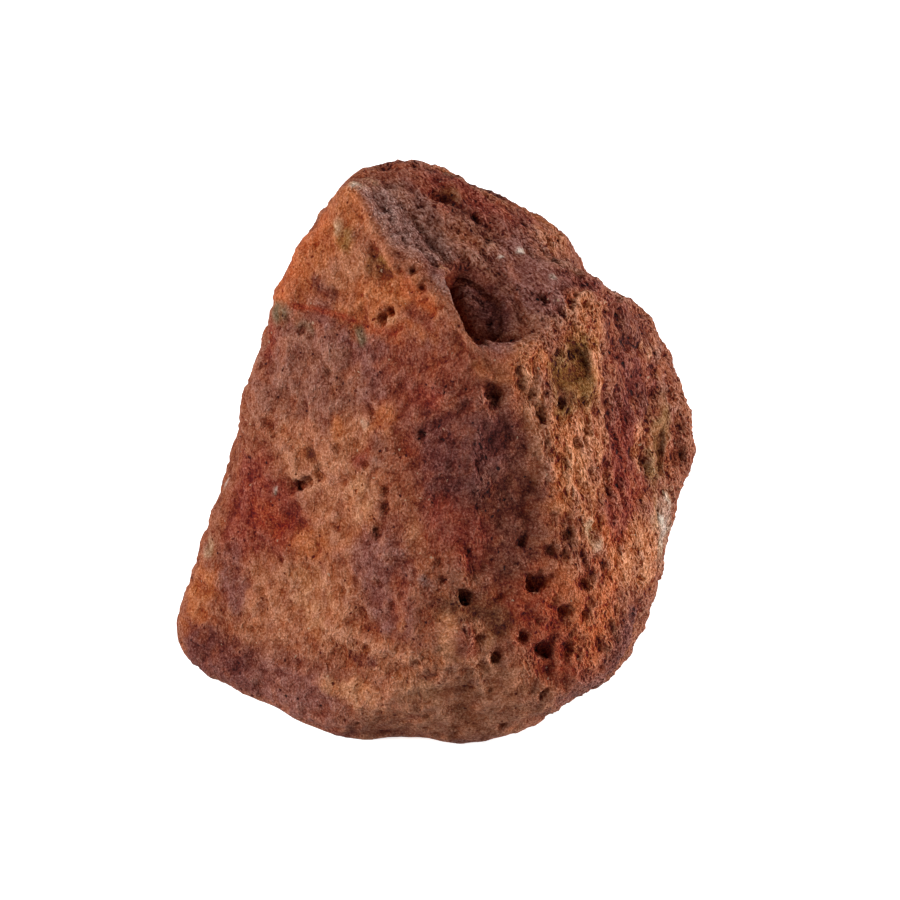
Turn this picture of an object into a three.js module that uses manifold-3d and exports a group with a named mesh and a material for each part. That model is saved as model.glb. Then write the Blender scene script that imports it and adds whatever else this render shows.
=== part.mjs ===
// A hand-sized lump of welded rhyolite tuff, in millimetres, +Z up, standing on its flattened base.
// The lump is one solid: broken facets meet in rounded edges, a deep cleft runs down from the crown
// behind a sharp crest, and gas cavities pit the front, the right side and, less often, the back.
import * as THREE from "three";
import { ImprovedNoise } from "three/addons/math/ImprovedNoise.js";
import { mergeVertices } from "three/addons/utils/BufferGeometryUtils.js";
import Module from "manifold-3d";

const wasm = await Module();
wasm.setup();

// ---------------------------------------------------------------- driving dimensions
const heart = new THREE.Vector3(-3, 0, 38); // middle of the lump, from which every facet is measured
const edgeCrispness = 20; // higher makes the edges between facets sharper
const skinDetail = 18; // splits along each side of the icosahedron that the skin starts from

// Each broken facet looks along a direction: turn is degrees from the front (-Y) towards the right
// (+X), tilt is degrees above level, and reach is its distance from the heart.
const facets = {
  leftFront: { turn: -40, tilt: 17, reach: 22.2 },
  middle: { turn: 15, tilt: 10, reach: 31.5 },
  rightFront: { turn: 56, tilt: 16, reach: 33.5 },
  lowerFront: { turn: 2, tilt: -14, reach: 40 },
  leftShoulder: { turn: -103, tilt: 35, reach: 38.2 },
  leftSide: { turn: -94, tilt: 18, reach: 31.8 },
  leftFoot: { turn: -66, tilt: -24, reach: 54 },
  lowerLeft: { turn: -35, tilt: -47, reach: 51 },
  lowerMiddle: { turn: -5, tilt: -52, reach: 50 },
  lowerCorner: { turn: 47, tilt: -41, reach: 47.6 },
  lowerRight: { turn: 78, tilt: -13, reach: 41.5 },
  rightSide: { turn: 88, tilt: 10, reach: 45.5 },
  rightShoulder: { turn: 102, tilt: 33, reach: 41.5 },
  skyline: { turn: 122, tilt: 55, reach: 42.7 },
  crownLeft: { turn: -129, tilt: 60, reach: 48 },
  crownBack: { turn: 178, tilt: 41, reach: 42.5 },
  back: { turn: 172, tilt: 4, reach: 28 },
  backRight: { turn: 133, tilt: -2, reach: 35 },
  backLeft: { turn: -130, tilt: 2, reach: 33 },
  backFoot: { turn: 165, tilt: -38, reach: 41 },
  base: { turn: 0, tilt: -90, reach: 41 },
};

// Two more facets meet in a trough instead of an edge: the slab behind the crest and the slope
// that rises from it to the right.
const trough = {
  slab: { turn: 94, tilt: 46, reach: 24.8 },
  slope: { turn: 28, tilt: 68, reach: 37.6 },
};

// Soft dents, each along a line between two places: it sinks by deep and fades out over wide.
const dents = {
  nick: { from: [20, 2, 71], to: [25, 15, 64], wide: 5, deep: 4.4 },
  nickFoot: { from: [26, 1, 68], to: [29, 9, 64], wide: 4, deep: 1.8 },
  bulgeFoot: { from: [15, -19, 64], to: [22, 3, 66], wide: 4, deep: 1.3 },
  middleTrough: { from: [9, -26, 58], to: [9, -31, 40], wide: 8, deep: 1.2 },
  cleftRamp: { from: [7, -14, 73], to: [9, -19, 68], wide: 4, deep: 1.8 },
  leftWaist: { from: [-38, -3, 34], to: [-39, -3, 30], wide: 9, deep: 1.4 },
};

// Soft rises, laid out in the same way.
const rises = {
  crown: { from: [-6, 9, 85], to: [0, 12, 82], wide: 6, deep: 1.5 },
  lip: { from: [12, -21, 66], to: [15, -19, 66], wide: 3, deep: 1.2 },
  rightRim: { from: [38, 0, 38], to: [38, 1, 42], wide: 5, deep: 2 },
};

// Swells and lumps of the broken surface: how far they stand out and how far apart they lie.
const roughness = [
  { height: 1.2, spacing: 17 },
  { height: 0.9, spacing: 8 },
  { height: 0.5, spacing: 4.6 },
];

// Open cavities, each an oval sunk into the skin over the place that it is at. It is long along one
// direction, wide across it and deep inwards; lean turns its floor under the left-hand wall.
const cavities = {
  cleft: { at: [5, -16.8, 71], along: [0.33, -0.83, -0.45], long: 8, wide: 2, deep: 6.5, lean: 48 },
  crownHollow: { at: [-1, 5, 80], along: [1, 0, -0.5], long: 1.8, wide: 1.4, deep: 1.6 },
  roundPit: { at: [6.8, -24.7, 60], along: [1, 0, 0.3], long: 2.1, wide: 1.8, deep: 2 },
  oliveHollow: { at: [19.5, -17, 60], along: [0.3, 0.3, 1], long: 4.4, wide: 3.2, deep: 1.8 },
  oliveLobe: { at: [17, -21, 56.5], along: [1, 0.5, -0.3], long: 1.5, wide: 1.2, deep: 1.8 },
  slot: { at: [-23.8, -12.5, 37.8], along: [0.8, -0.5, 0.35], long: 2, wide: 0.8, deep: 1.8 },
  slotLobe: { at: [-20.7, -15, 40.8], along: [0.7, -0.6, 0], long: 1.3, wide: 1.1, deep: 0.9 },
  crack: { at: [-11.3, -24.8, 36.6], along: [0, 0, 1], long: 2.2, wide: 0.8, deep: 0.9 },
  flatPit: { at: [-7.9, -28.7, 33.4], along: [1, -0.4, 0.1], long: 1.6, wide: 0.8, deep: 1.5 },
  almondPit: { at: [2.4, -33, 29.5], along: [1, 0, -0.45], long: 2, wide: 1, deep: 1.9 },
  roundCell: { at: [13.6, -30.2, 30.4], along: [1, 0.3, 0.2], long: 1.8, wide: 1.7, deep: 1.5 },
  rimmedCell: { at: [22.5, -24.3, 36.7], along: [0.2, 0, 1], long: 1.3, wide: 0.9, deep: 1.4 },
  lowCell: { at: [11.3, -32.3, 21.9], along: [1, 0.2, 0.3], long: 1.3, wide: 1, deep: 1.1 },
  footCell: { at: [7.2, -33.7, 19.2], along: [0, 0, 1], long: 1, wide: 0.95, deep: 1.3 },
  doubleCell: { at: [14.4, -31.6, 18.8], along: [0.7, 0.3, -1], long: 2.4, wide: 1.2, deep: 1.6 },
  cornerCell: { at: [15.1, -32, 11.8], along: [1, 0.3, 0.5], long: 1.1, wide: 0.9, deep: 1.2 },
  paleStrip: { at: [33.4, -6.6, 41], along: [0.1, 0.3, 1], long: 5, wide: 2.6, deep: 1.5 },
  stripPit: { at: [36.2, -3.4, 37.4], along: [0, 0.3, 1], long: 1.9, wide: 1.2, deep: 1.6 },
  rimPit: { at: [37.6, -1, 43], along: [0, 0.3, 1], long: 1.6, wide: 1.1, deep: 1.2 },
  backPit: { at: [-12, 28, 47], along: [1, 0, 0.4], long: 2.2, wide: 1.5, deep: 1.7 },
  backCell: { at: [9, 30, 30], along: [0.3, 0, 1], long: 1.7, wide: 1.1, deep: 1.4 },
  backSlot: { at: [-3, 29, 20], along: [1, 0, -0.3], long: 2.4, wide: 0.9, deep: 1.3 },
  crownPit: { at: [3, 24, 70], along: [1, 0.2, 0], long: 1.7, wide: 1.3, deep: 1.4 },
  farPit: { at: [27, 18, 45], along: [0, 0, 1], long: 2.1, wide: 1.4, deep: 1.5 },
  leftPit: { at: [-33, 12, 33], along: [0.2, 0.3, 1], long: 1.9, wide: 1.2, deep: 1.3 },
};
const lumpiness = 0.18; // how uneven the wall of a cavity is, against its size
const ground = { width: 160, height: 30 }; // block that cuts the lump off flat at z = 0
const cavityDetail = { small: 1, large: 3, largeFrom: 6 }; // splits of its wall; large from this length

// ---------------------------------------------------------------- surface
const never = 1e-6; // stands for a facet that looks the other way
const noise = new ImprovedNoise();

function facing({ turn, tilt }) {
  const [a, e] = [THREE.MathUtils.degToRad(turn), THREE.MathUtils.degToRad(tilt)];
  return new THREE.Vector3(Math.sin(a) * Math.cos(e), -Math.cos(a) * Math.cos(e), Math.sin(e));
}

const planesOf = (set) => Object.values(set).map((f) => ({ normal: facing(f), reach: f.reach }));
const facetPlanes = planesOf(facets);
const troughPlanes = planesOf(trough);

function reliefOf(set, sign) {
  return Object.values(set).map(({ from, to, wide, deep }) => {
    const line = new THREE.Line3(new THREE.Vector3(...from), new THREE.Vector3(...to));
    return { line, wide, sink: sign * deep };
  });
}
const reliefs = [...reliefOf(dents, 1), ...reliefOf(rises, -1)];

// Distance from the heart to the rounded facets, along a unit direction. Each facet adds how
// closely it bounds the lump that way; the two of the trough count as one, by the farther of them.
function facetRadius(direction) {
  const bound = ({ normal, reach }) => Math.max(never, normal.dot(direction) / reach) ** edgeCrispness;
  const outer = facetPlanes.reduce((sum, plane) => sum + bound(plane), 0);
  const valley = 1 / troughPlanes.reduce((sum, plane) => sum + 1 / bound(plane), 0);
  return (outer + valley) ** (-1 / edgeCrispness);
}

// How far the dents take the surface in at a point, less what the rises put on.
function sinkAt(point) {
  const nearest = new THREE.Vector3();
  let sink = 0;
  for (const relief of reliefs) {
    relief.line.closestPointToPoint(point, true, nearest);
    sink += relief.sink * Math.exp(-((point.distanceTo(nearest) / relief.wide) ** 2));
  }
  return sink;
}

function swellAt(point) {
  let swell = 0;
  for (const { height, spacing } of roughness) {
    swell += height * noise.noise(point.x / spacing, point.y / spacing, point.z / spacing);
  }
  return swell;
}

// The skin's point along a unit direction from the heart.
function skinPoint(direction) {
  const radius = facetRadius(direction);
  const point = direction.clone().multiplyScalar(radius).add(heart);
  const reach = radius - sinkAt(point) + swellAt(point);
  return point.copy(direction).multiplyScalar(reach).add(heart);
}

// ---------------------------------------------------------------- solids
// A ball of flat triangles with its seams welded, each of whose points is moved in turn.
function shapedBall(detail, move) {
  const ball = new THREE.IcosahedronGeometry(1, detail);
  ball.deleteAttribute("normal");
  ball.deleteAttribute("uv");
  const geometry = mergeVertices(ball);
  const place = geometry.getAttribute("position");
  const point = new THREE.Vector3();
  for (let i = 0; i < place.count; i++) {
    point.fromBufferAttribute(place, i).normalize();
    place.setXYZ(i, ...move(point));
  }
  return geometry;
}

function solidOf(geometry) {
  const vertProperties = new Float32Array(geometry.getAttribute("position").array);
  const triVerts = new Uint32Array(geometry.index.array);
  return new wasm.Manifold(new wasm.Mesh({ numProp: 3, vertProperties, triVerts }));
}

function geometryOf(solid) {
  const { vertProperties, triVerts } = solid.getMesh();
  const geometry = new THREE.BufferGeometry();
  geometry.setAttribute("position", new THREE.BufferAttribute(vertProperties, 3));
  geometry.setIndex(new THREE.BufferAttribute(triVerts, 1));
  return geometry;
}

// An uneven oval cutter, set on the skin where the heart sees through the place.
function cavityCutter({ at, along, long, wide, deep, lean = 0 }) {
  const outward = new THREE.Vector3(...at).sub(heart).normalize();
  const lengthwise = new THREE.Vector3(...along).projectOnPlane(outward).normalize();
  const place = skinPoint(outward);
  outward.applyAxisAngle(lengthwise, THREE.MathUtils.degToRad(lean));
  const across = new THREE.Vector3().crossVectors(outward, lengthwise);
  const frame = new THREE.Matrix4().makeBasis(lengthwise, across, outward).setPosition(place);
  const [px, py, pz] = at;
  const detail = long > cavityDetail.largeFrom ? cavityDetail.large : cavityDetail.small;
  const oval = shapedBall(detail, (point) => {
    const swell = 1 + lumpiness * noise.noise(2 * point.x + px, 2 * point.y + py, 2 * point.z + pz);
    return point.multiplyScalar(swell);
  });
  return solidOf(oval.scale(long, wide, deep).applyMatrix4(frame));
}

// A block with its top at z = 0, which cuts the base flat.
function groundBlock() {
  const { width, height } = ground;
  const block = new THREE.BoxGeometry(width, width, height).translate(0, 0, -height / 2);
  block.deleteAttribute("normal");
  block.deleteAttribute("uv");
  return solidOf(mergeVertices(block));
}

function stoneGeometry() {
  let solid = solidOf(shapedBall(skinDetail, skinPoint)).subtract(groundBlock());
  for (const cavity of Object.values(cavities)) solid = solid.subtract(cavityCutter(cavity));
  const geometry = geometryOf(solid);
  geometry.computeBoundingBox();
  const middle = geometry.boundingBox.getCenter(new THREE.Vector3());
  geometry.translate(-middle.x, -middle.y, -geometry.boundingBox.min.z);
  geometry.computeVertexNormals();
  return geometry;
}

const stone = new THREE.Mesh(
  stoneGeometry(),
  new THREE.MeshStandardMaterial({ color: 0x8a4c38, roughness: 0.95, metalness: 0 }),
);
stone.name = "stone";

const part = new THREE.Group();
part.add(stone);

export default part;
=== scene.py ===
import math
import random

import bpy
import numpy as np
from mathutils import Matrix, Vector, noise


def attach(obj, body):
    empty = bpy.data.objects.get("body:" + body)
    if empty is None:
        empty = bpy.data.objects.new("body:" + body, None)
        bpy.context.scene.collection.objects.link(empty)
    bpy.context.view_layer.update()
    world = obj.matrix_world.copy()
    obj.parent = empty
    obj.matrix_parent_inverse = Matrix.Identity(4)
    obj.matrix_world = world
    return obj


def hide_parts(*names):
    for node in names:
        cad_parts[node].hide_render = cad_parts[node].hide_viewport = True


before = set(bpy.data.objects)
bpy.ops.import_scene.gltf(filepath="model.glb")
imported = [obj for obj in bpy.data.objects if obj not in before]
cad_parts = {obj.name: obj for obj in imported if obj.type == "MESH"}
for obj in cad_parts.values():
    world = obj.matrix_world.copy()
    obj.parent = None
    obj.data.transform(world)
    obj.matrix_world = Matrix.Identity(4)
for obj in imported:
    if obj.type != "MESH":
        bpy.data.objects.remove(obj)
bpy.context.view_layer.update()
mm = 0.001
scene = bpy.context.scene
scene.view_settings.view_transform = "Standard"


def ease(low, high, value):  # 0 at low, 1 at high, smooth between
    share = np.clip((value - low) / (high - low), 0, 1)
    return share * share * (3 - 2 * share)


def unit(direction):
    return np.array(direction) / np.linalg.norm(direction)


# the shape comes from the solid, remeshed finely, and is then given its broken surface
stoneShape = {
    "weld": 0.002 * mm,  # corners closer than this are joined
    "voxel": 0.545 * mm,
    "meltRounds": 4,  # smoothing rounds that melt the solid's flat facets together
    "flow": (0.54, -0.72, -0.43),  # the way the ash flowed, which draws out streaks and gas cells
    "fall": (0.2, -0.15, -0.95),  # on the open right side the cells are drawn out downwards instead
    "meeting": (14, -12, 67),  # where the two ways meet, in mm
    "stretch": 2.6,
    "lumps": 0.3,  # height of the broad lumps, in mm, and so on for the finer ones
    "knobs": 0.26,
    "ribs": 0.17,
    "fibres": 0.38,
    "furrows": 0.3,
    "bedding": (0.78, -0.2, 0.59),  # the way the furrows over the front run
    "plates": 0.3,
    "chips": 0.16,
    "cellWalls": 0.35,
    "dips": 0.6,
    "inset": 0.05,  # how far the broken surface lies inside the smooth one, on the whole
    "baseFade": 1.5,  # the relief fades in over this height above the flat base
    "seed": 11,
}
flow = unit(stoneShape["flow"])
fall = unit(stoneShape["fall"])


def copyOfSolid(nodeName, name):
    piece = bpy.data.objects.new(name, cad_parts[nodeName].data.copy())
    piece.data.materials.clear()
    scene.collection.objects.link(piece)
    bpy.ops.object.select_all(action="DESELECT")
    piece.select_set(True)
    bpy.context.view_layer.objects.active = piece
    bpy.ops.object.mode_set(mode="EDIT")
    bpy.ops.mesh.select_all(action="SELECT")
    bpy.ops.mesh.remove_doubles(threshold=stoneShape["weld"])
    bpy.ops.object.mode_set(mode="OBJECT")
    return piece


def applyModifier(piece, kind, **settings):
    modifier = piece.modifiers.new(kind.title(), kind)
    for key, value in settings.items():
        setattr(modifier, key, value)
    bpy.ops.object.modifier_apply(modifier=modifier.name)


def readVectors(collection, key):
    flat = np.empty(len(collection) * 3)
    collection.foreach_get(key, flat)
    return flat.reshape(-1, 3)


def drawnOut(places, direction, stretch):  # squeezed along a direction, so what is laid on comes out longer
    offset = places - stoneShape["meeting"]
    return places - np.outer(offset @ direction * (1 - 1 / stretch), direction)


def cloud(places, spacing, octaves=3, shift=0.0):  # soft random lumps, about -1 to 1
    return np.array([noise.fractal(p, 1.0, 2.0, octaves) for p in places / spacing + shift])


def cellWalls(places, spacing):  # 1 on the walls between gas cells, 0 in the cells
    near = np.array([noise.voronoi(p)[0][:2] for p in places / spacing])
    return 1 - ease(0.0, 0.5, near[:, 1] - near[:, 0])


def ribs(places, spacing, shift=0.0):  # sharp crooked ridges, about -1 to 1
    ridges = [noise.ridged_multi_fractal(p, 0.9, 2.1, 4, 1.0, 1.6) for p in places / spacing + shift]
    return np.array(ridges) - 1


def distanceTo(places, route):  # from each place to a line through the route's points
    nearest = np.full(len(places), np.inf)
    for start, end in zip(np.array(route, float), np.array(route[1:], float)):
        line = end - start
        share = np.clip((places - start) @ line / (line @ line), 0, 1)
        nearest = np.minimum(nearest, np.linalg.norm(places - start - share[:, None] * line, axis=1))
    return nearest


def closeTo(places, route, reach, sharpness=2):  # 1 on the route, 0 well beyond its reach
    return np.exp(-(distanceTo(places, route) / reach) ** sharpness)


sides = {  # which way a side looks, and the cosines at which it begins and is fully there
    "right": ((0.85, -0.45, 0.25), 0.62, 0.9),
    "top": ((0.3, -0.1, 0.95), 0.58, 0.74),
    "crown": ((0.3, -0.1, 0.95), 0.65, 0.9),
    "behind": ((0.1, 1.0, 0.1), -0.1, 0.4),
}


def facing(side, normals):
    direction, low, high = sides[side]
    return ease(low, high, normals @ unit(direction))


print("stone: remeshing")
stone = copyOfSolid("stone", "tuffStone")
applyModifier(stone, "REMESH", mode="VOXEL", voxel_size=stoneShape["voxel"])
applyModifier(stone, "SMOOTH", factor=0.5, iterations=stoneShape["meltRounds"])
points = readVectors(stone.data.vertices, "co") / mm
normals = readVectors(stone.data.vertex_normals, "vector")
print("stone:", len(points), "points,", len(stone.data.polygons), "faces")

# how open the rock is: foamy on the right and over the crown, close-grained on the left and in front
foam = {  # 0 is close-grained, 1 is all gas cells
    "footRight": 0.42,
    "crown": 0.45,
    "foot": 0.3,
    "leftStrip": 0.25,
    "closedInCalm": 0.85,  # the share that the calm places take away
    "unstreakedInCalm": 0.7,
    "closedOnSlab": 0.75,
}
patches = {  # where the rock differs: a line of places and how far it reaches, in mm
    "foot": ([(-16, -24, 17), (-2, -32.5, 18), (8, -32, 18)], 3),
    "spongy": ([(-17, -3, 68), (-7, -11, 68), (-2, -13, 70)], 3),
    "leftStrip": ([(-31, 0, 40), (-28, -9, 28)], 5),
    "slab": ([(-9, 4, 82), (-3, -3, 77), (3, -13, 72)], 4.5),
    "bedded": ([(-12, -13, 54), (2, -20, 60)], 8),
}
calmPlaces = {  # where the wall is close and smooth, in the same way
    "cleft": ([(7, -9, 72), (10, -17, 66)], 3.5),
    "oliveHollow": ([(21, -17, 59), (24, -13, 58)], 3.0),
    "strip": ([(37, -2, 46), (36, -5, 40)], 2.2),
}
sway = cloud(points, spacing=6, octaves=2, shift=9.2)
rightSide = facing("right", normals)
topSide = facing("top", normals)
crown = facing("crown", normals)
behind = facing("behind", normals)
footRight = ease(12, 20, points[:, 0]) * ease(34, 24, points[:, 2]) * (1 - behind)
openness = np.clip(np.maximum(rightSide, foam["footRight"] * footRight) + foam["crown"] * crown, 0, 1)
openness = np.maximum(openness, behind * ease(-0.15, 0.35, cloud(points, spacing=20, octaves=1, shift=3.1)))
openness = np.clip(openness * (0.8 + 0.6 * sway), 0, 1)
streaky = np.clip(np.maximum(rightSide, crown) + 0.5 * behind, 0, 1)
foot = closeTo(points, *patches["foot"])
spongy = closeTo(points, *patches["spongy"])
bedded = closeTo(points, *patches["bedded"])
leftStrip = closeTo(points, *patches["leftStrip"])
openness = np.maximum(openness, np.maximum(foam["foot"] * foot, foam["leftStrip"] * leftStrip))
for route, reach in calmPlaces.values():
    calm = closeTo(points, route, reach, sharpness=4)
    openness *= 1 - foam["closedInCalm"] * calm
    streaky *= 1 - foam["unstreakedInCalm"] * calm
slab = topSide * closeTo(points, *patches["slab"])
openness *= 1 - foam["closedOnSlab"] * slab

flowing = drawnOut(points, flow, stoneShape["stretch"])
falling = drawnOut(points, fall, stoneShape["stretch"])
grainWay = flowing + ease(70, 62, points[:, 2])[:, None] * (falling - flowing)


def grained(pattern, **settings):  # plain where the rock is close-grained, drawn out where it is streaky
    return pattern(points, **settings) * (1 - streaky) + pattern(grainWay, **settings) * streaky


print("stone: breaking the surface")
push = stoneShape["lumps"] * cloud(points, spacing=6.5)
push += stoneShape["knobs"] * (0.5 + openness) * grained(cloud, spacing=2.1, octaves=4, shift=7.3)
push += stoneShape["ribs"] * (0.3 + openness + crown) * grained(ribs, spacing=3.4, shift=5.5)
push += stoneShape["fibres"] * slab * ribs(drawnOut(points, flow, stretch=7), spacing=1.5, shift=2.2)
push += stoneShape["fibres"] * np.maximum(foot, spongy) * ribs(points, spacing=1.9, shift=9.9)
overFront = drawnOut(points, unit(stoneShape["bedding"]), stretch=3.5)
push += stoneShape["furrows"] * bedded * ribs(overFront, spacing=2.0, shift=4.4)
push += stoneShape["plates"] * ease(-0.08, 0.06, cloud(points, spacing=4.2, octaves=4, shift=6.1))
push += stoneShape["chips"] * ease(-0.1, 0.08, grained(cloud, spacing=1.9, octaves=2, shift=8.8))
warped = grainWay + 0.4 * cloud(points, spacing=2.4, octaves=2, shift=1.7)[:, None]
push += openness * stoneShape["cellWalls"] * (cellWalls(warped, spacing=1.15) - 0.4)
dips = ease(0.25, 0.45, cloud(grainWay, spacing=1.7, octaves=2, shift=14.2))
push -= stoneShape["dips"] * dips * (0.05 + openness)
push -= push.mean() + stoneShape["inset"]

# forms that are too sharp or too slight for the solid: a line of places, reach and height in mm
forms = {
    "crest": (
        [(-12, 4, 83), (-9, -2, 80), (-6, -8, 76), (0, -13.5, 73), (4, -18, 70), (8, -21, 67.5)], 1.0, 0.8,
    ),
    "slabFoot": ([(-3, 4, 79.5), (0.5, -3, 76.5), (3, -8, 74.5)], 1.8, -0.5),
    "backEdge": ([(3, 16, 82), (7, 18, 79), (13, 19.5, 75), (19, 19.5, 72)], 4.5, -1.3),
    "heel": ([(-38, -8, 3.5), (-34, -13, 3.5)], 4.0, 1.1),
    "frontFoot": ([(-13, -26, 3), (-6, -30, 3)], 3.5, -0.8),
    "cleftHead": ([(5, -6.5, 74.5), (7, -10, 73)], 1.7, -0.9),
    "oliveFloor": ([(22, -15, 61), (24, -13, 58)], 2.8, 0.9),
    "stripFloor": ([(37, -3, 45), (36, -5, 40)], 2.2, 1.2),
    "lip": ([(9, -21, 66.5), (13, -20.5, 66.5), (17, -19, 65.5)], 1.5, 0.3),
    "ridge": ([(17.5, -18, 65), (18, -20.5, 58), (18, -23, 49), (17, -26, 38)], 1.6, 0.6),
    "ledge": ([(-16, -23, 19), (-8, -29, 18.5), (-1, -32.5, 19)], 1.2, 0.5),
    "underLedge": ([(-16, -24, 16), (-8, -29.5, 15.5), (0, -33, 16)], 1.6, -0.35),
    "footFold": ([(1.5, -33, 15), (6, -33, 20.5), (8, -32, 13)], 1.0, 0.5),
    "scratch": ([(-1.2, -21.2, 52.2), (3.2, -22.8, 56.6)], 0.6, -0.4),
    "seam": ([(-7, -21.3, 43), (-7, -22.5, 39)], 0.6, -0.5),
}
for route, reach, height in forms.values():
    push += height * closeTo(points, route, reach)

# gas cavities that are too small for the solid: place, radius and depth in mm
smallCavities = {
    "twinLeft": ((-7.4, -10.9, 67.0), 0.8, 1.7),
    "twinRight": ((-6.0, -11.3, 68.3), 0.7, 1.5),
    "waistHole": ((-1.2, -21.2, 52.2), 0.7, 0.9),
    "leftSpeck": ((-14.8, -13.8, 46.2), 0.6, 0.8),
    "reddishDimple": ((-16.0, -11.0, 49.1), 0.9, 0.6),
    "midSpeck": ((-9.0, -14.7, 53.0), 0.6, 0.7),
    "longSpeck": ((-10.0, -17.7, 45.5), 0.7, 0.7),
    "edgeSpeck": ((-31.0, 1.0, 40.0), 0.9, 0.8),
    "edgeRing": ((-32.3, -1.9, 30.1), 1.6, 0.8),
    "seamTop": ((-7.0, -21.3, 42.4), 0.7, 0.6),
    "seamFoot": ((-7.0, -22.2, 40.0), 0.7, 0.6),
    "greenLineLeft": ((-2.3, -28.8, 32.8), 0.6, 0.6),
    "greenLineRight": ((1.5, -30.1, 35.0), 0.7, 0.7),
    "underLine": ((2.1, -31.0, 32.4), 0.6, 0.6),
    "lowNotch": ((-10.6, -25.3, 23.0), 0.8, 0.9),
    "lowSpeck": ((-6.1, -28.3, 26.3), 0.6, 0.7),
    "ledgeHole": ((-10.2, -27.5, 17.8), 0.7, 0.8),
    "clusterA": ((-11.7, -22.8, 27.5), 0.6, 0.7),
    "clusterB": ((-11.2, -22.9, 29.7), 0.5, 0.6),
    "clusterC": ((-7.8, -26.1, 28.6), 0.6, 0.7),
    "clusterD": ((-13.9, -21.6, 24.8), 0.6, 0.7),
    "groupA": ((-20.9, -9.2, 37.0), 1.1, 1.3),
    "groupB": ((-19.4, -10.8, 38.6), 0.9, 1.1),
    "groupC": ((-18.0, -12.0, 40.6), 0.8, 0.9),
    "groupD": ((-22.0, -9.6, 36.2), 0.7, 0.8),
    "overCell": ((14.1, -26.7, 36.7), 0.9, 0.8),
    "brownOval": ((18.7, -26.6, 35.0), 1.1, 0.8),
    "besideCell": ((24.3, -26.2, 28.7), 0.9, 0.9),
    "lowRight": ((20.8, -27.9, 24.8), 0.9, 0.9),
    "lowMiddle": ((14.1, -29.6, 21.6), 0.9, 0.8),
    "footSpeck": ((7.7, -32.2, 22.4), 0.7, 0.7),
    "footHole": ((10.2, -31.3, 18.6), 0.9, 0.8),
    "underDouble": ((21.5, -28.5, 18.2), 1.1, 0.9),
    "baseSpeck": ((11.5, -30.2, 4.5), 0.8, 0.7),
    "lowLeftA": ((-21.1, -21.6, 10.7), 0.7, 0.6),
    "lowLeftB": ((-27.8, -12.2, 19.1), 0.6, 0.7),
    "lowLeftC": ((-24.0, -14.9, 20.0), 0.6, 0.7),
    "lowLeftD": ((-24.1, -12.6, 25.0), 0.5, 0.6),
    "lowLeftE": ((-29.4, -13.9, 12.4), 0.7, 0.7),
    "capHollow": ((-6.8, -8.4, 73.6), 1.3, 0.7),
    "capSpeckA": ((-8.8, -5.8, 75.6), 0.7, 0.7),
    "capSpeckB": ((-18.3, 2.5, 74.2), 0.7, 0.7),
    "bandSpeckA": ((-20.4, -2.1, 60.9), 0.7, 0.6),
    "bandSpeckB": ((-16.1, -7.5, 56.2), 0.6, 0.6),
    "crestCreviceA": ((-4.2, -9.8, 74.7), 0.7, 1.0),
    "crestCreviceB": ((-2.4, -10.7, 74.9), 0.7, 1.0),
    "crestCreviceC": ((-0.9, -12.8, 73.0), 0.7, 1.1),
    "crestCreviceD": ((2.0, -15.8, 71.2), 0.7, 1.1),
    "bulgeHoleA": ((20.6, -11.8, 68.7), 0.8, 0.9),
    "bulgeHoleB": ((27.2, -4.0, 67.8), 0.9, 0.9),
    "bulgeHoleC": ((29.7, -0.1, 66.1), 0.9, 0.9),
    "bulgeHoleD": ((24.1, -8.4, 68.3), 0.8, 0.9),
    "rightOvalA": ((28.0, -10.0, 58.0), 0.9, 0.9),
    "rightOvalB": ((31.3, -9.4, 48.8), 1.2, 0.9),
    "rightOvalC": ((32.4, -9.7, 43.1), 1.1, 1.0),
}
strewnCavities = {  # depth is a share of the radius, and openness says in which rock they lie
    "open": {"count": 600, "radius": (0.3, 0.65), "depth": 0.9, "longer": (1.4, 3.4), "openness": (0.4, 1)},
    "close": {"count": 90, "radius": (0.25, 0.45), "depth": 1.0, "longer": (1.0, 2.0), "openness": (-1, 0.4)},
}
cavityShape = {
    "longer": 1.2,  # length over width of the ones listed
    "unevenness": 0.45,
    "fallFrom": 20,  # to the right of this, in mm, they are drawn out downwards
}
sunk = np.zeros(len(points))
uneven = cloud(points, spacing=1.5, octaves=2, shift=17.7)


def sinkCavity(place, radius, depth, longer):  # an oval, longer along the grain
    near = np.flatnonzero(np.abs(points - place).max(axis=1) < radius * (1.5 + longer))
    offset = points[near] - place
    way = fall if place[0] > cavityShape["fallFrom"] else flow
    along = offset @ way
    across = np.linalg.norm(offset - np.outer(along, way), axis=1)
    distance = np.hypot(across, along / longer) * (1 + cavityShape["unevenness"] * uneven[near])
    sunk[near] = np.maximum(sunk[near], depth * np.exp(-(distance / radius) ** 4))


chance = random.Random(stoneShape["seed"])
for place, radius, depth in smallCavities.values():
    sinkCavity(np.array(place), radius, depth, cavityShape["longer"])
for spec in strewnCavities.values():
    low, high = spec["openness"]
    fits = np.flatnonzero((openness > low) & (openness <= high))
    for i in range(spec["count"]):
        radius = chance.uniform(*spec["radius"])
        place = points[fits[chance.randrange(len(fits))]]
        sinkCavity(place, radius, spec["depth"] * radius, chance.uniform(*spec["longer"]))
push -= sunk
push *= ease(0.0, stoneShape["baseFade"], points[:, 2])
moved = points + normals * push[:, None]

edges = np.empty(len(stone.data.edges) * 2, dtype=np.int64)
stone.data.edges.foreach_get("vertices", edges)
edges = edges.reshape(-1, 2)
ends = np.concatenate([edges[:, 0], edges[:, 1]])
others = np.concatenate([edges[:, 1], edges[:, 0]])
valence = np.bincount(ends, minlength=len(points))


def smoothed(places, rounds):  # each point goes to the middle of its neighbours, round after round
    for i in range(rounds):
        places = np.stack([np.bincount(ends, places[others, k], len(points)) for k in range(3)], 1)
        places /= valence[:, None]
    return places


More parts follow.
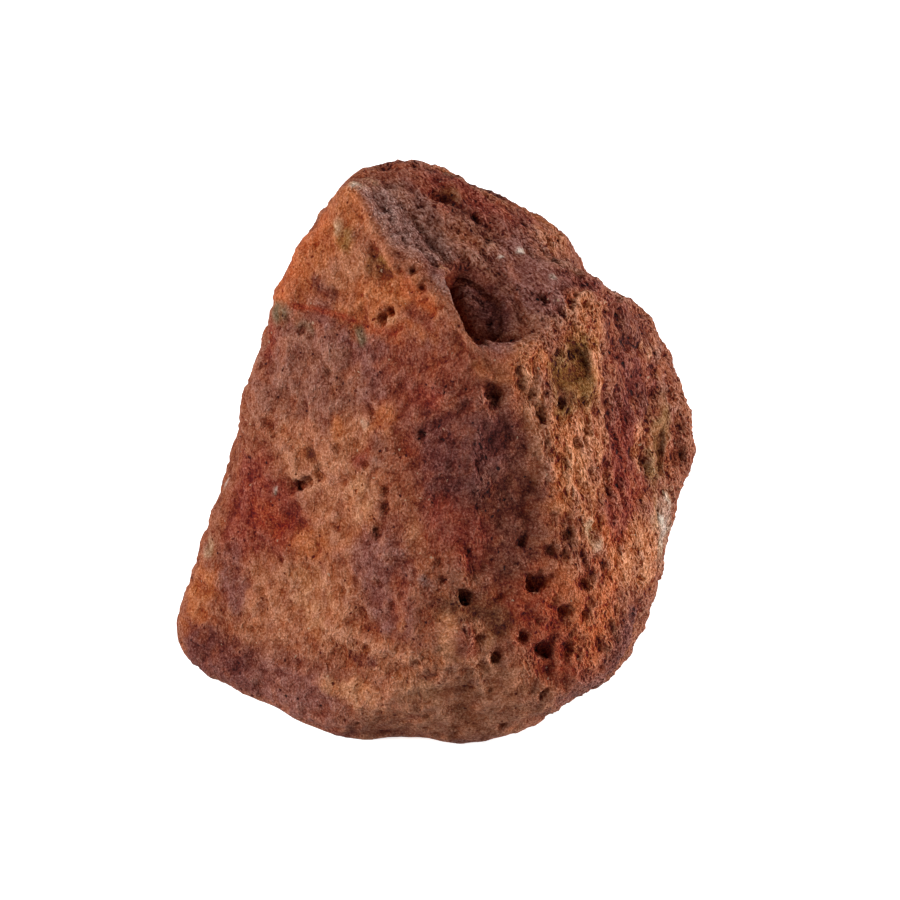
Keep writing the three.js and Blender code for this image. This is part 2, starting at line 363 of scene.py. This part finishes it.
print("stone: shaping the cleft")
ramp = {
    "route": [(8, -7, 72), (10.5, -12, 69.5), (11, -16, 68)],
    "reach": 3.4,
    "way": (-0.1, 0.2, -1),
    "depth": 1.4,
}
slides = {  # the cleft is drawn in under the crest: a line of places seen from above
    "lower": {"route": [(6.9, -11.6), (9.5, -18.3)], "reach": 3.4, "way": (-3.3, -0.3, 0.3)},
    "upper": {"route": [(6.5, -8.5), (7.5, -12)], "reach": 2.6, "way": (-1.5, -0.1, 0)},
}
slideHeights = (58, 66)  # they fade in between these heights
cleft = {  # its floor rises to the right from the line between head and foot, up to the level of the rim
    "head": (3.5, -7.5, 71.8),
    "foot": (8.5, -19.5, 63.8),
    "rise": 0.5,
    "rim": (13, -11, 69.4),
    "rimSlope": (-0.2, 0.42),
    "bend": 0.6,  # how softly the floor rolls over into the rim
    "calmRounds": 5,
    "farthest": 9,  # what is further off than this is the underside below the cleft, and stays where it is
    "raised": (-1.0, 0.2),  # the distances from the line at which the floor begins and is fully there
    "lowered": (0.8, 2.2),
    "headFade": (-0.15, 0.0),  # shares of the way from head to foot
    "footFade": (1.08, 0.96),
    "rightFade": (8, 5.5),
}
worn = {  # broad steps to the right of the cleft are worn away, and the fine relief stays
    "route": [(9, -7, 72), (11, -11, 70), (12.5, -16, 68.5)],
    "reach": 3.2,
    "broadRounds": 60,
    "fineRounds": 4,
}


def rampDown(places):  # the far side of the cleft runs down into it as a soft ramp
    sag = closeTo(points, ramp["route"], ramp["reach"]) * ramp["depth"]
    return places + sag[:, None] * unit(ramp["way"])


def slideUnderCrest(places):
    high = ease(*slideHeights, points[:, 2])
    for slide in slides.values():
        share = closeTo(points[:, :2], slide["route"], slide["reach"], sharpness=4) * high
        places = places + share[:, None] * np.array(slide["way"])
    return places


def layFloor(places):
    line = np.subtract(cleft["foot"], cleft["head"])
    run = np.hypot(line[0], line[1])
    soft = smoothed(places, cleft["calmRounds"])
    offset = soft - cleft["head"]
    along = (offset[:, 0] * line[0] + offset[:, 1] * line[1]) / run ** 2
    across = (offset[:, 1] * line[0] - offset[:, 0] * line[1]) / run
    slope = cleft["head"][2] + along * line[2] + cleft["rise"] * across
    rim = cleft["rim"][2] + (soft[:, :2] - cleft["rim"][:2]) @ cleft["rimSlope"]
    fill = -cleft["bend"] * np.logaddexp(-slope / cleft["bend"], -rim / cleft["bend"]) - soft[:, 2]
    fill[np.abs(fill) > cleft["farthest"]] = 0
    fill *= np.where(fill > 0, ease(*cleft["raised"], across), ease(*cleft["lowered"], across))
    lengthwise = ease(*cleft["headFade"], along) * ease(*cleft["footFade"], along)
    fill *= lengthwise * ease(*cleft["rightFade"], across)
    return places + np.outer(fill, (0, 0, 1))


def wearDown(places):
    share = closeTo(places, worn["route"], worn["reach"], sharpness=4)
    broad = smoothed(places, worn["broadRounds"])
    fine = smoothed(places, worn["fineRounds"])
    return places + share[:, None] * (broad - fine)


moved = wearDown(layFloor(slideUnderCrest(rampDown(moved))))
moved[:, 2] = np.maximum(moved[:, 2], 0)
stone.data.vertices.foreach_set("co", (moved * mm).ravel())
stone.data.update()
bpy.ops.object.shade_smooth()

normals = smoothed(readVectors(stone.data.vertex_normals, "vector"), 6)  # of the finished surface
topSide = facing("top", normals)
# how far each point lies below its surroundings, in mm: the colour is darkened in hollows as painted shade,
# and lightened on ridges
hollow = ((smoothed(moved, 14) - moved) * normals).sum(axis=1)

# strokes of tint along lines on the surface, laid in order: tint, reach, places, all in mm
tints = {
    "ground": "94583f",
    "rust": "b66e46",
    "orange": "bc6840",
    "ember": "943e20",
    "tan": "ba7e60",
    "sand": "c48a68",
    "mauve": "8c5a50",
    "rose": "9c6a58",
    "clay": "8b4b37",
    "brown": "743f2e",
    "umber": "6c3c20",
    "brick": "72342a",
    "red": "863b2a",
    "wine": "64332c",
    "slate": "a27a70",
    "peach": "d4926c",
    "olive": "805628",
    "straw": "8c6440",
    "moss": "74604a",
    "beige": "c8a486",
    "chalk": "dacabc",
    "maroon": "6c3626",
}
aroundStrokes = [
    # broad zones, from the top down
    ("mauve", 6, (-21, -3, 60), (-3, -15, 64)), ("mauve", 6, (-21, -4, 56), (-7, -15, 58)),
    ("clay", 4.5, (-4, -16, 62), (5, -21, 62)), ("rose", 6, (-26, -1, 50), (-17, -8, 52)),
    ("tan", 5, (-12, -16, 48), (-13, -18, 36)), ("tan", 5, (-21, -9, 42), (-14, -15, 38)),
    ("red", 5, (-29, -5, 35), (-25, -10, 31)), ("red", 4, (-31, -5, 31), (-31, -6, 25)),
    ("ember", 2.5, (-28, -7, 31), (-25, -10, 30)), ("tan", 7, (-26, -14, 17), (-16, -21, 22)),
    ("mauve", 3, (-32, -9, 17), (-33, -7, 21)), ("rust", 3, (-39, -4, 16), (-40, -6, 9)),
    ("mauve", 5, (-28, -17, 5), (-18, -26, 7)), ("wine", 4.5, (-38, -8, 5), (-33, -13, 5)),
    ("clay", 7.5, (2, -22, 54), (8, -26, 46)), ("wine", 5.5, (3, -22, 53), (8, -26, 47)),
    ("wine", 4.5, (3, -25, 46), (10, -24, 53)), ("brown", 4.5, (12, -25, 44), (12, -28, 36)),
    ("red", 3.5, (3, -28, 41), (6, -29, 37)), ("mauve", 4.5, (-8, -24, 33), (-6, -28, 25)),
    ("tan", 6.5, (-5, -31, 10), (13, -31, 9)), ("tan", 4, (6, -32, 20), (11, -32, 14)),
    ("ember", 5.5, (16, -29, 26), (21, -28, 18)), ("orange", 3.5, (22, -27, 29), (25, -27, 22)),
    ("wine", 3.0, (32, -21, 18), (30, -23, 12)), ("clay", 3.0, (27, -26, 15), (25, -26, 10)),
    ("orange", 3.0, (27, -25, 25), (25, -27, 18)), ("mauve", 3, (23, -27, 9), (26, -25, 8)),
    ("rust", 5, (22, -20, 51), (22, -22, 43)), ("peach", 4, (26, -16, 49), (24, -20, 44)),
    ("brick", 4, (32, -8, 50), (31, -13, 40)), ("brick", 5, (34, -2, 54), (31, -3, 61)),
    ("maroon", 3.5, (33, 2, 61), (31, -3, 62)), ("red", 3, (33, -11, 38), (31, -17, 36)),
    ("orange", 3.5, (27, -22, 36), (29, -20, 32)), ("peach", 5, (32, -18, 30), (35, -13, 27)),
    ("rust", 3.2, (25, -11, 65), (24, -9, 68)), ("rose", 2.5, (39, 1, 47), (37, 6, 56)),
    # the beige along the far right edge is a painted highlight, the light that rims that edge
    ("beige", 3.5, (38, -7, 31), (39, -5, 24)),
    # the orange cap
    ("rust", 6.5, (-13, 2, 80), (-22, 5, 69)), ("rust", 5, (-12, -4, 75), (-11, -7, 69)),
    ("rust", 3.5, (-6, -10, 72), (-1, -15, 69)), ("orange", 3.5, (-18, 6, 76), (-24, 5, 66)),
    ("tan", 3.4, (-11, -4, 76), (-13, -4, 71)), ("orange", 3, (-7, -11, 68), (-6, -12, 67)),
    ("ember", 0.5, (-24, 1, 64), (-20, -1, 64.5), (-16, -5, 65.5), (-13, -7, 65.5), (-9, -10, 65),
     (-5, -13, 65.5)),
    ("beige", 1.1, (-14, 1, 78), (-14, 0, 77)), ("olive", 1.4, (-13, -2, 77), (-12, -2, 76)),
    ("brown", 1.0, (-18, -1, 69), (-15, -4, 68)), ("clay", 1.6, (-10, -8, 69.5), (-10, -8, 68)),
    ("olive", 1.6, (-8, -7, 74.5), (-6.5, -8.5, 73.5)), ("umber", 1.2, (-8.5, -7, 74), (-7, -8.5, 73)),
    ("rust", 3.2, (-9, -8, 69), (-5, -11, 71)), ("orange", 1.2, (-3, -11.5, 73), (0, -15, 70.5)),
    ("clay", 1.4, (-3, -13.5, 69.5), (0, -16, 68.5)),
    ("sand", 1.3, (-7.6, -10.8, 67.2), (-5.8, -11.5, 68)),
    ("slate", 0.9, (2, -12.5, 73.5), (5.5, -17, 71), (8.5, -20, 68)),
    # the violet band and the middle of the left face
    ("moss", 1.7, (-25, 2, 62), (-24, 1, 63)), ("moss", 1.1, (-21, -2, 62), (-19, -3, 61.5)),
    ("moss", 1.1, (-11, -9, 64), (-10.5, -9.5, 63)), ("rose", 3.0, (-22, -2, 59), (-19, -4, 58)),
    ("rose", 3.5, (-15, -8, 58), (-12, -10, 56)), ("red", 2.2, (-27, 2, 59), (-27, 1, 56)),
    ("brown", 1.8, (-26, 0, 54), (-27, 0, 52)), ("clay", 0.9, (-8, -13, 60), (-4, -14.5, 62)),
    ("clay", 2.2, (-7, -17, 54), (-5, -18, 57)), ("rust", 1.2, (-15, -12, 50), (-14, -13, 48)),
    ("rust", 2.4, (-7, -16, 53), (-8, -17, 51)), ("tan", 2.2, (-23, -6, 45), (-21, -8, 44)),
    ("tan", 2.5, (-12, -16, 47), (-11, -18, 43)), ("sand", 2.4, (-11, -19, 41), (-10, -20, 39)),
    ("rust", 2.0, (-21, -14, 29), (-17, -16, 30)), ("sand", 3, (-20, -17, 24), (-18, -20, 19)),
    ("red", 1.4, (-11, -17, 46), (-9, -18, 49)), ("umber", 1.2, (-19, -10, 43), (-17, -12, 42)),
    # the middle
    ("rust", 2.0, (9, -22, 64), (12, -22, 63.5)), ("clay", 1.6, (10, -21, 66.5), (14, -20, 66)),
    ("tan", 1.6, (-1, -25, 39), (-2, -26, 38)), ("rust", 1.0, (-4, -29, 28), (-4, -30, 24)),
    ("brown", 2.6, (15, -23, 51), (13, -26, 41)),
    ("umber", 2.2, (3, -32, 28.5), (8, -31, 27), (11, -31, 24)),
    ("rust", 1.8, (14.5, -20.5, 65.5), (16, -20, 65), (18, -19, 63.5)),
    ("tan", 2.6, (-13, -26, 18), (-5, -31, 18), (2, -33, 20)),
    ("brown", 0.7, (-14, -26, 15.5), (-9, -29, 16)), ("peach", 1.3, (-12, -29, 12), (-7, -31, 9)),
    ("peach", 1.5, (3, -33, 26), (3, -34, 20)), ("sand", 0.7, (5, -32, 30.5), (8, -32, 28)),
    ("peach", 1.2, (8, -32, 24), (9, -32, 22)), ("red", 1.6, (-3, -19, 58), (1, -21, 58)),
    ("sand", 2.0, (-4, -31, 14), (1, -33, 12)), ("sand", 2.0, (-16, -27, 10), (-12, -29, 10)),
    ("brown", 1.4, (17, -23.5, 47), (17, -25, 44)), ("clay", 1.8, (-5, -29, 29), (-5, -29.5, 26)),
    ("clay", 1.6, (6, -33, 24), (6, -33, 21.5)), ("rose", 1.8, (-8, -18, 49), (-8, -18.5, 47)),
    # the right side
    ("olive", 3.2, (20, -17, 60), (21, -18, 57)), ("olive", 3.4, (23, -13, 61), (24, -14, 58)),
    ("umber", 1.5, (19, -18, 58), (21, -18, 57)), ("peach", 1.8, (15, -21, 62), (16, -21, 56)),
    ("tan", 1.8, (16, -22, 54), (17, -24, 47)), ("peach", 1.6, (26, -12, 61), (27, -13, 56)),
    ("peach", 1.2, (23, -22, 42), (24, -22, 38)), ("orange", 1.6, (26, -24, 31), (28, -23, 27)),
    ("beige", 1.2, (25, -23, 37), (26, -23, 35)), ("peach", 1.6, (22, -18, 53), (22, -21, 47)),
    ("sand", 1.6, (35, 1, 57), (36, 0, 55)), ("straw", 2.6, (37, -2, 46), (36, -6, 39)),
    ("maroon", 1.4, (34, -4, 49), (34, -5, 51)), ("peach", 1.3, (33, -7, 46), (34, -9, 41)),
    ("ember", 2.0, (30, -12, 46), (30, -14, 43)), ("ember", 2.0, (29, -18, 38), (30, -19, 34)),
    # the chalk stroke here, along the far right edge, is a painted highlight too
    ("red", 3.4, (31, -12, 45), (30, -18, 37)), ("chalk", 2.2, (38.5, -7, 31), (39, -5, 26)),
    ("peach", 1.5, (25, -9, 67), (24, -11, 66)), ("clay", 3.2, (6, -9, 72), (9, -17, 66)),
    ("maroon", 2.6, (7, -7, 73.5), (9, -13, 69)), ("wine", 2.2, (8, -9.5, 71.5), (10.5, -15, 68)),
    ("olive", 1.6, (23, -12, 61), (24, -13, 59)),
    # chips
    ("chalk", 0.7, (-10, -14, 51), (-9.5, -14.5, 50.5)), ("chalk", 0.5, (24, -13, 63), (24, -13, 62.5)),
    ("chalk", 0.5, (-34, 3, 31), (-34, 3, 30)), ("chalk", 0.35, (-25, -8, 35.6), (-25, -8, 35)),
    ("beige", 1.2, (-37, -2, 21.5), (-37, -2, 20.5)), ("slate", 1.0, (0, -31, 31.5), (-1, -30, 32)),
]
topStrokes = [
    ("rose", 9, (14, 2, 75), (12, -10, 72)), ("clay", 6, (-6, 9, 83), (10, 16, 79)),
    ("red", 5, (4, 9, 80), (14, 9, 77)), ("mauve", 4, (14, -1, 74), (16, -9, 71)),
    ("brown", 2.0, (5, 5, 79), (8, 1, 77)), ("slate", 3.4, (-9, 5, 82), (-3, -3, 77.5)),
    ("slate", 2.4, (-3, -4, 77), (-1, -6, 76.5)), ("mauve", 1.8, (0.5, -7.5, 75.5), (2, -10.5, 74)),
    ("slate", 0.6, (0.5, -10.5, 75), (5, -18, 70)), ("slate", 3.6, (-5, 4, 81), (0, 0, 78)),
    ("slate", 2.4, (0, -3, 76.5), (2.5, -5.5, 75)), ("slate", 2.2, (-9.5, 4, 82), (-8, -1, 80.5)),
    ("umber", 1.5, (3, 8, 80), (4, 7, 80)), ("tan", 2.6, (18, 7, 74), (21, 9, 72)),
    ("mauve", 2.0, (10, -20.5, 66.5), (14, -19, 66.5)),
    ("rust", 1.8, (14.5, -20, 66), (16, -19.5, 65.5), (18, -18.5, 64)),
    ("mauve", 3, (17, -10, 70), (20, -6, 71)), ("brick", 3.6, (24, -4, 70), (27, -2, 69)),
    ("brick", 4, (32, 7, 62), (31, -2, 62)), ("maroon", 3.4, (33, 3, 60), (31, -3, 62)),
    ("orange", 2.2, (23, -9, 69), (25, -11, 66)),
    ("olive", 3.4, (20, -17, 60), (22, -15, 60), (24, -13, 60)),
    ("beige", 1.6, (-10, 7, 82.5), (-12, 4, 83)), ("clay", 2.6, (4.5, -8, 73.5), (7, -14, 69.5)),
    ("clay", 2.4, (7, -12, 69), (9, -17, 66)),
    ("maroon", 1.5, (4.5, -9, 74), (6.5, -13, 71), (8, -17, 68)),
    ("maroon", 2.0, (6, -6.5, 74), (8, -9, 72)), ("wine", 2.2, (8, -9.5, 71.5), (10.5, -15, 68)),
    ("sand", 0.8, (2, -8, 75), (2.5, -8.5, 75)), ("peach", 2.0, (24, -8, 68.5), (23, -10, 67)),
    ("chalk", 0.55, (14, -1, 74), (14.4, -1, 74)), ("chalk", 0.35, (11, -3, 74), (11.2, -3, 74)),
    ("chalk", 0.35, (5, -1, 76), (5.2, -1, 76)), ("chalk", 0.4, (19, -6, 72), (19.2, -6, 72)),
    ("chalk", 0.9, (-12, 3, 83), (-12.5, 3, 82.5)),
]
# zones of these lie over the back and the underside
hiddenTints = ["tan", "mauve", "rust", "wine", "brick", "rose"]
painting = {
    "cover": 0.92,  # how much a stroke hides of what lies under it
    "hiddenCover": 0.8,
    "richness": 1.2,  # how far the tints stand off from grey
    "slabGrain": 0.4,  # how much stronger the fine grain is on the slab beside the crest
}
flecks = {  # tint, spacing, place in the pattern, strength
    "warmth": ("orange", 2.6, 30.5, 0.24),
    "redness": ("brick", 2.4, 41.5, 0.17),
    "coolness": ("mauve", 2.2, 52.5, 0.18),
    "paleness": ("sand", 1.8, 63.5, 0.15),
}


def shown(code):  # a tint as it is seen, 0 to 1
    return np.array([int(code[i:i + 2], 16) / 255 for i in (0, 2, 4)])


def tone(values):  # the same as light, which the shader works in
    return np.where(values <= 0.04045, values / 12.92, ((values + 0.055) / 1.055) ** 2.4)


# two uneven patterns, from which the edges of the strokes are mixed
torn = 2.0 * cloud(points, spacing=5, shift=4.4) + cloud(flowing, spacing=1.6, shift=2.6)
frayed = 2.0 * cloud(points, spacing=4, shift=8.4) + cloud(points, spacing=1.3, shift=5.6)
stoneColour = np.tile(shown(tints["ground"]), (len(points), 1))


def layTint(name, weight):
    weight = weight[:, None]
    stoneColour[:] = stoneColour * (1 - weight) + shown(tints[name]) * weight


def layStrokes(strokes, where):
    for i, (name, reach, *places) in enumerate(strokes):
        turn = 2.4 * i  # each stroke's edge is its own mix of the two patterns
        ragged = (math.cos(turn) * torn + math.sin(turn) * frayed) * min(1, reach / 4)
        inside = ease(1.6, 0.5, (distanceTo(moved, places) + ragged) / reach)
        layTint(name, where * painting["cover"] * inside)


def paint(name, values):
    layer = stone.data.attributes.new(name, "FLOAT", "POINT")
    layer.data.foreach_set("value", values.astype(np.float32))


print("stone: painting")
hidden = np.maximum(behind, ease(2, 0, points[:, 2]))
layStrokes(aroundStrokes, (1 - hidden) * (1 - topSide))
layStrokes(topStrokes, (1 - hidden) * topSide)
for i, name in enumerate(hiddenTints):
    zone = ease(0.1, 0.3, cloud(flowing, spacing=11, shift=20 + 7 * i))
    layTint(name, hidden * painting["hiddenCover"] * zone)
for name, spacing, shift, strength in flecks.values():
    fleck = ease(0.05, 0.45, grained(cloud, spacing=spacing, octaves=4, shift=shift))
    layTint(name, strength * (1 + 0.3 * streaky) * (1 - 0.8 * slab) * fleck)
grey = stoneColour.mean(axis=1, keepdims=True)
stoneColour = np.clip(grey + (stoneColour - grey) * painting["richness"], 0, 1)
colourLayer = stone.data.attributes.new("tint", "FLOAT_COLOR", "POINT")
colourLayer.data.foreach_set("color", np.hstack([tone(stoneColour), np.ones((len(points), 1))]).ravel())
paint("hollow", hollow)
paint("openness", openness)
paint("streaky", streaky)
paint("graininess", 1 + painting["slabGrain"] * slab)
wayLayer = stone.data.attributes.new("grainWay", "FLOAT_VECTOR", "POINT")
wayLayer.data.foreach_set("vector", grainWay.ravel())

# fine grains, lighter and darker than the tint around them, partly grain tone and partly painted light on
# their raised tops and painted shade in their lows, with pores darkened as painted shade, and pale crystals
finish = {
    "roughness": 0.92,
    "shine": 0.25,
    "grain": 0.32,  # spacing of the grains, in mm, and so on for the next six
    "middling": 1.3,
    "crumb": 0.42,
    "speck": 0.34,
    "pores": 0.62,
    "pinholes": 1.0,
    "wander": 0.8,  # the pattern that bends the cells
    "wanderReach": 0.8,  # how far it bends them, in mm
    "shades": {  # how much each pattern lightens or darkens the tint
        "fine": 0.56,
        "crumb": 0.26,
        "middling": 0.14,
        "speck": 0.08,
        # the dark pricks and pinholes are painted shade in tiny pores
        "pricks": -0.19,
        "pinholes": -0.26,
    },
    "bumps": {  # and how much it raises or sinks the shading
        "fine": 0.45,
        "crumb": 0.14,
        "middling": 1.0,
        "speck": 0.06,
        "pits": 1.0,
        "pinholes": -0.25,
    },
    "darkest": (0.07, 0.03, 0.02),
    "gamma": 2.2,
    "crystalCover": 0.7,
    "bumpHeight": 1.0 * mm,
}

material = bpy.data.materials.new("tuff")
material.use_nodes = True
stone.data.materials.append(material)
tree = material.node_tree
shader = tree.nodes["Principled BSDF"]


def add(kind, inputs, output=0, **settings):
    node = tree.nodes.new("ShaderNode" + kind)
    for key, value in settings.items():
        setattr(node, key, value)
    for key, value in inputs.items():
        if isinstance(value, bpy.types.NodeSocket):
            tree.links.new(value, node.inputs[key])
        else:
            node.inputs[key].default_value = value
    return node.outputs[output]


def calculate(operation, first, second=0.0, third=0.0):
    return add("Math", {0: first, 1: second, 2: third}, operation=operation)


def remap(value, low, high, toLow=0.0, toHigh=1.0):
    inputs = {"Value": value, "From Min": low, "From Max": high, "To Min": toLow, "To Max": toHigh}
    return add("MapRange", inputs, interpolation_type="SMOOTHSTEP")


def between(first, second, share):
    return calculate("MULTIPLY_ADD", calculate("SUBTRACT", second, first), share, first)


def weighed(parts):  # the sum of values, each with its weight
    total = 0.0
    for value, weight in parts:
        total = calculate("MULTIPLY_ADD", value, weight, total)
    return total


def attribute(name, kind="Fac"):
    return add("Attribute", {}, kind, attribute_name=name)


def grains(vector, spacing, detail=4.0, roughness=0.6):  # about -0.3 to 0.3
    inputs = {"Vector": vector, "Scale": 1 / spacing, "Detail": detail, "Roughness": roughness}
    return calculate("SUBTRACT", add("TexNoise", inputs), 0.5)


def network(vector, spacing):  # 0 on thin crooked walls, rising towards the middle of the cells between
    inputs = {"Vector": vector, "Scale": 1 / spacing}
    return add("TexVoronoi", inputs, "Distance", feature="DISTANCE_TO_EDGE")


def chosen(cells, share):  # 1 in a few of a pattern's cells, picked by chance
    return remap(add("SeparateColor", {0: cells.node.outputs["Color"]}), share, share + 0.02)


def buildTuff():
    rock = add("VectorMath", {0: add("TexCoord", {}, "Object"), "Scale": 1 / mm}, operation="SCALE")  # in mm
    wander = add("TexNoise", {"Vector": rock, "Scale": 1 / finish["wander"], "Detail": 2.0}, "Color")
    wander = add("VectorMath", {0: wander, "Scale": finish["wanderReach"]}, operation="SCALE")
    bent = add("VectorMath", {0: rock, 1: wander}, operation="ADD")
    lengthwise = attribute("grainWay", "Vector")
    bentLengthwise = add("VectorMath", {0: lengthwise, 1: wander}, operation="ADD")
    hollowness = attribute("hollow")
    opened = attribute("openness")
    strands = attribute("streaky")
    shades = finish["shades"]
    bumps = finish["bumps"]

    middling = grains(rock, finish["middling"], 5.0, 0.7)
    plainGrain = grains(rock, finish["grain"], 3.0, 0.75)
    drawnGrain = grains(lengthwise, finish["grain"], 3.0, 0.75)
    fine = between(plainGrain, drawnGrain, strands)
    crumbs = add("TexVoronoi", {"Vector": bent, "Scale": 1 / finish["crumb"]}, "Distance")
    crumb = calculate("SUBTRACT", 0.42, crumbs)  # 0.42 is the pattern's middle value
    # dark dots in a few grains and pores: painted shade in tiny pores
    pricks = calculate("MULTIPLY", remap(crumbs, 0.34, 0.12), chosen(crumbs, 0.86))
    pores = add("TexVoronoi", {"Vector": bent, "Scale": 1 / finish["pinholes"]}, "Distance")
    pinholes = calculate("MULTIPLY", remap(pores, 0.3, 0.16), chosen(pores, 0.88))
    speckCells = add("TexVoronoi", {"Vector": bent, "Scale": 1 / finish["speck"]}, "Color")
    speck = add("SeparateColor", {0: speckCells})
    net = network(bentLengthwise, finish["pores"])
    # painted shade in the gas cells: their middles, which the bump below sinks, are darkened
    cellShade = calculate("MULTIPLY", remap(net, 0.06, 0.34), remap(opened, 0.0, 0.6, 0.05, 0.26))

    # the same step is added to red, green and blue, so that the dark places come out deep in colour
    # partly grain tone, partly painted light and shade: the same patterns raise the bump below, and here
    # their highs are lightened and their lows darkened
    specks = calculate("SUBTRACT", speck, 0.5)
    parts = [(fine, "fine"), (crumb, "crumb"), (middling, "middling"), (specks, "speck")]
    step = weighed([(value, shades[name]) for value, name in parts])
    step = calculate("MULTIPLY", step, remap(strands, 0.0, 1.0, 1.0, 1.12))
    step = calculate("MULTIPLY", step, attribute("graininess"))
    # the painted shade in the gas cells is taken off the tint, with a slight lift over open rock
    step = weighed([(step, 1.0), (cellShade, -1.0), (remap(opened, 0.0, 0.6, 0.02, 0.07), 1.0)])
    # painted shade in the pores: the pricks and pinholes darken the tint
    step = weighed([(step, 1.0), (pricks, shades["pricks"]), (pinholes, shades["pinholes"])])
    # painted shade: the tint is darkened in the hollows and lightened on the ridges
    step = calculate("ADD", step, remap(hollowness, -0.3, 0.4, 0.06, -0.14))
    seen = add("Gamma", {"Color": attribute("tint", "Color"), "Gamma": 1 / finish["gamma"]})
    seen = add("VectorMath", {0: seen, 1: step}, operation="ADD")
    seen = add("VectorMath", {0: seen, 1: finish["darkest"]}, operation="MAXIMUM")
    colour = add("Gamma", {"Color": seen, "Gamma": finish["gamma"]})
    crystal = calculate("MULTIPLY", remap(speck, 0.999, 0.9993), finish["crystalCover"])
    pale = tuple(tone(shown(tints["beige"]))) + (1,)
    inputs = {"Factor": crystal, 6: colour, 7: pale}
    colour = add("Mix", inputs, 2, data_type="RGBA")

    pits = calculate("MULTIPLY", remap(net, 0.0, 0.35), remap(opened, 0.0, 0.6, -0.08, -0.3))
    parts = [(fine, "fine"), (middling, "middling"), (crumb, "crumb"), (speck, "speck")]
    parts += [(pits, "pits"), (pinholes, "pinholes")]
    height = weighed([(value, bumps[name]) for value, name in parts])
    bump = add("Bump", {"Height": height, "Distance": finish["bumpHeight"], "Strength": 1.0})
    tree.links.new(colour, shader.inputs["Base Color"])
    tree.links.new(bump, shader.inputs["Normal"])
    shader.inputs["Roughness"].default_value = finish["roughness"]
    shader.inputs["Specular IOR Level"].default_value = finish["shine"]


print("stone: finish")
buildTuff()
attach(stone, "root")
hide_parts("stone")

studio = {
    "floorSize": 12.0,
    "floorShade": 0.9,
    "floorGlow": 0.8,
    "cardSize": 3.0,
    "cardHeight": -0.1 * mm,
    "worldStrength": 0.06,
    "bounce": 0.42,  # light that the pale floor throws back up
    "lampDistance": 0.6,
    "lampSize": 0.25,
    "lens": 85,
    "cameraLift": 28,
    "cameraDistance": 350.6 * mm,
    "aim": (3.2 * mm, 1.85 * mm, 37.5 * mm),
}
lights = {
    "key": {"turn": -75, "lift": 24, "power": 4.2},
    "back": {"turn": 165, "lift": 32, "power": 0.8},
    "right": {"turn": 85, "lift": 14, "power": 4.2},
}


def addAround(name, data, turn, lift, distance):  # looks at the aim, turn and lift in degrees
    turn = math.radians(turn)
    lift = math.radians(lift)
    offset = Vector((math.sin(turn) * math.cos(lift), -math.cos(turn) * math.cos(lift), math.sin(lift)))
    body = bpy.data.objects.new(name, data)
    body.location = Vector(studio["aim"]) + offset * distance
    body.rotation_euler = offset.to_track_quat("Z", "Y").to_euler()
    scene.collection.objects.link(body)
    return body


def addPlane(name, size, shade, glow, height=0.0):
    bpy.ops.object.select_all(action="DESELECT")
    bpy.ops.mesh.primitive_plane_add(size=size, location=(0, 0, height))
    plane = bpy.context.object
    plane.name = name
    coat = bpy.data.materials.new(name + "Paint")
    coat.use_nodes = True
    shader = coat.node_tree.nodes["Principled BSDF"]
    shader.inputs["Base Color"].default_value = (shade, shade, shade, 1)
    shader.inputs["Roughness"].default_value = 1.0
    shader.inputs["Emission Color"].default_value = (1, 1, 1, 1)
    shader.inputs["Emission Strength"].default_value = glow
    plane.data.materials.append(coat)
    return plane


def addFloor():  # one plane is seen, the other throws light up at the stone
    floor = addPlane("floor", studio["floorSize"], studio["floorShade"], studio["floorGlow"])
    floor.visible_diffuse = False
    floor.visible_shadow = False
    card = addPlane("bounceCard", studio["cardSize"], 0, studio["bounce"], studio["cardHeight"])
    card.visible_camera = False


def addLights():
    world = bpy.data.worlds.new("studio")
    world.use_nodes = True
    world.node_tree.nodes["Background"].inputs["Strength"].default_value = studio["worldStrength"]
    world.node_tree.nodes["Background"].inputs["Color"].default_value = (1, 1, 1, 1)
    scene.world = world
    for name, spec in lights.items():
        lamp = bpy.data.lights.new(name, "AREA")
        lamp.energy = spec["power"]
        lamp.size = studio["lampSize"]
        addAround(name, lamp, spec["turn"], spec["lift"], studio["lampDistance"])


def addCamera():
    camera = bpy.data.cameras.new("camera")
    camera.lens = studio["lens"]
    scene.camera = addAround("camera", camera, 0, studio["cameraLift"], studio["cameraDistance"])


print("studio: floor, light and camera")
addFloor()
addLights()
addCamera()
